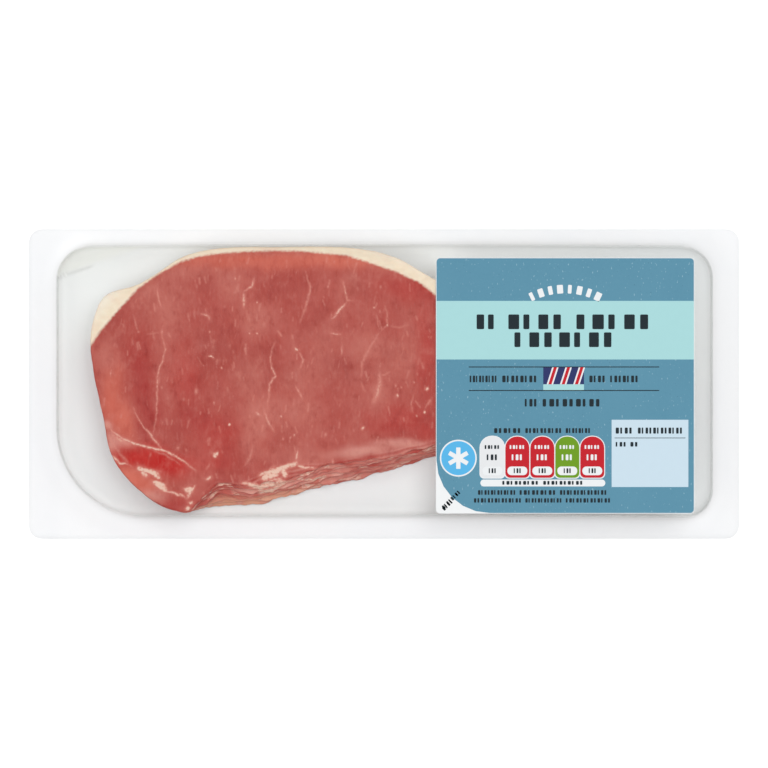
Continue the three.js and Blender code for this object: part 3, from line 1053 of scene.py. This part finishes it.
def turned(ring, degrees, across=None, down=None):
    """The ring turned about a point on the label, or about its own middle."""
    middle = ring.mean(axis=0) if across is None else np.array(on_label(across, down))
    angle = math.radians(degrees)
    turn = np.array([[math.cos(angle), math.sin(angle)], [-math.sin(angle), math.cos(angle)]])
    return (ring - middle) @ turn + middle


def slanted(across, top, bottom, wide, slip):
    """A stripe between two heights on the label, its top `slip` further along than its foot."""
    corners = [(across, bottom), (across + wide, bottom), (across + wide - slip, top), (across - slip, top)]
    return np.array([on_label(*corner) for corner in corners])


def disc(across, down, radius, steps=64):
    x, y = on_label(across, down)
    angles = np.linspace(0, 2 * math.pi, steps, endpoint=False)
    return np.stack([x + radius * np.cos(angles), y + radius * np.sin(angles)], axis=1)


def print_material(name, colour, speck=0.10):
    """Ink on paper: its colour a little mottled, with a satin finish."""
    material, tree, surface = new_material(name)
    dark = tuple(c * (1 - speck) for c in colour[:3]) + (1.0,)
    tone = blend(tree, clouds(tree, 2.5, detail=4), dark, colour)
    finish_surface(tree, surface, Base_Color=tone, Roughness=0.5, Specular_IOR_Level=0.12)
    return material


def field_material():
    """The label's blue ground, with soft clouds and fine pale and dark flecks."""
    material, tree, surface = new_material("label_blue")
    tone = blend(
        tree, clouds(tree, 18, stretch=(1, 1.5, 1), detail=3), paint(78, 136, 162), paint(96, 152, 176)
    )
    tone = blend(tree, clouds(tree, 1.2, detail=3), tone, paint(92, 148, 172))
    pale = clouds(tree, 0.6, stretch=(1, 2.2, 1), detail=1)
    tone = tinge(tree, tone, pale, 0.68, 0.76, 0.55, paint(168, 204, 218))
    dark = clouds(tree, 0.45, stretch=(1.6, 1, 1), detail=1)
    tone = tinge(tree, tone, dark, 0.72, 0.8, 0.6, paint(40, 82, 104))
    finish_surface(tree, surface, Base_Color=tone, Roughness=0.48, Specular_IOR_Level=0.12)
    return material


def plates(name, rings, low, material, thickness=INK):
    """Thin flat plates of the given outlines, joined into one piece of the label."""
    vertices, faces = [], []
    for ring in rings:
        first, count = len(vertices), len(ring)
        vertices += [(*p, low) for p in ring] + [(*p, low + thickness) for p in ring]
        faces.append([first + i for i in reversed(range(count))])
        faces.append([first + count + i for i in range(count)])
        faces += [[first + i for i in quad] for quad in ring_quads(2, count)]
    piece = mesh_object(name, vertices, faces, material, smooth_shading=False)
    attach(piece, "root")
    return piece


def word(left, top, right, bottom, letters):
    """Plain upright blocks in place of a word's letters, with no letter forms."""
    pitch = (right - left) / letters
    rings = []
    for k in range(letters):
        wide = pitch * (0.72, 0.5, 0.66, 0.4)[(k * 3 + letters) % 4]
        start = left + k * pitch
        rings.append(label_rect(start, top, start + wide, bottom, min(0.3 * wide, 0.4)))
    return rings


def arched_word(across, down, radius, spread, letters):
    """Plain white blocks along an arch, in place of its word's letters."""
    rings = []
    for k in range(letters):
        degrees = spread * (2 * k / (letters - 1) - 1)
        wide = (2.1, 1.5, 1.9, 1.3)[k % 4]
        top, bottom = down - radius - 1.5, down - radius + 1.5
        block = label_rect(across - wide / 2, top, across + wide / 2, bottom, 0.3)
        rings.append(turned(block, degrees, across, down))
    return rings


# The row of panels with round tops: their width, and each one's ink.
DIAL_LEFT, DIAL_TOP, DIAL_BOTTOM, DIAL_PITCH, DIAL_WIDE = 15.4, 62.0, 76.3, 8.66, 8.3
DIAL_INKS = ["white", "red", "red", "green", "red"]
PATCH_LEFT, PATCH_TOP, PATCH_RIGHT, PATCH_BOTTOM = 37.2, 38.0, 51.3, 43.9
DISC_MIDDLE = (7.76, 69.5)


def dial(index, grow=0.0):
    """One round-topped panel of the row."""
    left = DIAL_LEFT + index * DIAL_PITCH
    top_radius = DIAL_WIDE / 2 - 0.2 + grow
    return label_rect(
        left - grow, DIAL_TOP - grow, left + DIAL_WIDE + grow, DIAL_BOTTOM + grow,
        [1.6, 1.6, top_radius, top_radius],
    )


def star(across, down, reach, wide, arms=6):
    """The arms of a plain star, as bars through its middle."""
    bar = label_rect(across - wide / 2, down - reach, across + wide / 2, down + reach, 0.15)
    return [turned(bar, 360 / arms * k) for k in range(arms // 2)]


def make_label():
    paper_top = LABEL_LOW[2] + PAPER
    field_top = paper_top + INK
    shape_top = field_top + INK
    detail_top = shape_top + INK
    paper = plates(
        "label_paper", [label_rect(0, 0, LABEL_WIDE, LABEL_TALL, 1.5)], LABEL_LOW[2],
        print_material("label_white", paint(246, 248, 249), 0.03), PAPER,
    )
    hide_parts("front_label")
    edge = 0.2
    field = label_rect(edge, edge, LABEL_WIDE - edge, LABEL_TALL - edge, [18.4, 1.3, 1.3, 1.3])
    plates("label_field", [field], paper_top, field_material())

    aqua = print_material("ink_aqua", paint(173, 222, 224), 0.03)
    band = label_rect(edge, 15.0, LABEL_WIDE - edge, 35.3, 0.05)
    panel = label_rect(PATCH_LEFT, PATCH_BOTTOM, PATCH_RIGHT, 46.2, 0.05)
    plates("label_band", [band, panel], field_top, aqua)

    # The heading, the two rules and the small lines, all as plain blocks.
    ink = print_material("ink_dark", INK_DARK, 0.1)
    dark = word(14.1, 19.7, 22.0, 24.8, 2) + word(25.1, 19.7, 45.9, 24.8, 4)
    dark += word(48.7, 19.7, 76.3, 24.8, 5) + word(27.2, 25.9, 63.4, 31.0, 7)
    dark += [label_rect(11.4, 37.75, 77.4, 38.05, 0.05), label_rect(11.4, 45.9, 77.4, 46.2, 0.05)]
    for top, bottom, words in (
        (40.9, 43.2, ((11.7, 21.5, 9), (23.0, 35.5, 8), (53.2, 59.2, 4), (60.4, 70.6, 7))),
        (49.0, 51.6, ((30.8, 35.6, 3), (37.0, 57.8, 9))),
        (59.1, 60.8, ((20.2, 30.0, 6), (31.0, 44.0, 10), (45.0, 53.9, 8))),
        (80.6, 82.2, ((14.6, 28.0, 12), (29.0, 42.0, 9), (43.0, 59.6, 14))),
        (83.4, 84.9, ((13.2, 30.0, 14), (31.0, 44.0, 12), (45.0, 60.9, 13))),
    ):
        for left, right, letters in words:
            dark += word(left, top, right, bottom, letters)
    plates("label_dark", dark, shape_top, ink)

    white = print_material("ink_white", paint(242, 245, 247), 0.03)
    frames = [dial(k, 0.3) for k in range(len(DIAL_INKS))]
    foot = label_rect(DIAL_LEFT, 76.9, DIAL_LEFT + 43.3, 79.3, 1.2)
    plates("label_white_marks", arched_word(44.7, 37.3, 26.4, 25.7, 8) + [foot], field_top, white)
    for k, frame_ring in enumerate(frames):
        plates(f"label_dial_frame_{k + 1}", [frame_ring], field_top + OVERLAP_LIFT * (k % 2), white)

    inks = {
        "white": print_material("ink_panel_white", paint(236, 238, 240), 0.04),
        "red": print_material("ink_red", paint(203, 14, 34), 0.08),
        "green": print_material("ink_green", paint(112, 160, 16), 0.08),
    }
    for name, material in inks.items():
        rings = [dial(k) for k, used in enumerate(DIAL_INKS) if used == name]
        plates(f"label_dials_{name}", rings, shape_top, material)
    pills, marks, dark_marks = [], [], []
    for k, used in enumerate(DIAL_INKS):
        left = DIAL_LEFT + k * DIAL_PITCH
        pills.append(label_rect(left + 0.7, 72.4, left + DIAL_WIDE - 0.7, 75.4, 1.4))
        lines = word(left + 1.5, 65.0, left + DIAL_WIDE - 1.3, 66.3, 5)
        lines += word(left + 2.2, 68.2, left + DIAL_WIDE - 1.9, 70.2, 3)
        (dark_marks if used == "white" else marks).extend(lines)
        dark_marks += word(left + 2.9, 73.0, left + DIAL_WIDE - 2.5, 74.7, 3)
    dark_marks += word(23.0, 77.4, 36.0, 78.7, 9) + word(37.2, 77.4, 51.4, 78.7, 10)
    plates("label_dial_pills", pills, detail_top, white)
    plates("label_dial_marks", marks, detail_top, white)
    plates("label_dial_blocks", dark_marks, detail_top + INK, ink)

    # The pale panel for a date, left blank but for plain blocks and its rule.
    date_panel = label_rect(60.9, 56.2, 87.5, 79.5, 0.1)
    ink_pale = print_material("ink_pale", paint(207, 228, 241), 0.03)
    plates("label_date_panel", [date_panel], field_top, ink_pale)
    lines = word(62.3, 58.9, 68.6, 61.0, 4) + word(70.0, 58.9, 85.9, 61.0, 12)
    lines += [label_rect(61.9, 62.4, 86.5, 62.6, 0.02)]
    lines += word(62.3, 63.9, 66.4, 65.5, 3) + word(67.4, 63.9, 70.6, 65.5, 2)
    plates("label_date_blocks", lines, shape_top, ink)

    # A plain patch of slanted stripes between the rules.
    patch = label_rect(PATCH_LEFT, PATCH_TOP, PATCH_RIGHT, PATCH_BOTTOM, 0.05)
    navy = print_material("ink_navy", paint(38, 48, 104), 0.06)
    plates("label_patch", [patch], field_top, navy)
    for name, starts, wide, low, material in (
        ("label_patch_white", (38.4, 43.0, 47.6), 2.2, shape_top, white),
        ("label_patch_red", (38.95, 43.55, 48.15), 1.1, detail_top, inks["red"]),
    ):
        stripes = [slanted(x, PATCH_TOP, PATCH_BOTTOM, wide, -1.9) for x in starts]
        plates(name, stripes, low, material)

    # The round mark with a star, over the cut corner, and the corner's two plain blocks.
    sky = print_material("ink_sky", paint(88, 186, 238), 0.04)
    plates("label_disc_ring", [disc(*DISC_MIDDLE, 6.4)], field_top, white)
    plates("label_disc", [disc(*DISC_MIDDLE, 5.9)], shape_top, sky)
    for k, bar in enumerate(star(*DISC_MIDDLE, 3.7, 1.5)):
        plates(f"label_star_{k + 1}", [bar], detail_top + OVERLAP_LIFT * k, white)
    corner = [turned(block, 45, 5.6, 84.0) for block in word(1.4, 83.0, 9.8, 84.4, 8)]
    corner += [turned(block, 45, 4.2, 85.6) for block in word(1.8, 84.9, 6.4, 86.3, 4)]
    plates("label_corner_blocks", corner, paper_top, ink)


def make_everything():
    make_camera()
    make_surroundings()
    make_backing()
    pork = pork_material()
    for index in range(len(RASHERS)):
        make_rasher(index, pork)
    make_film(rasher_ring(len(RASHERS) - 1, 2.0))
    make_label()


make_everything()
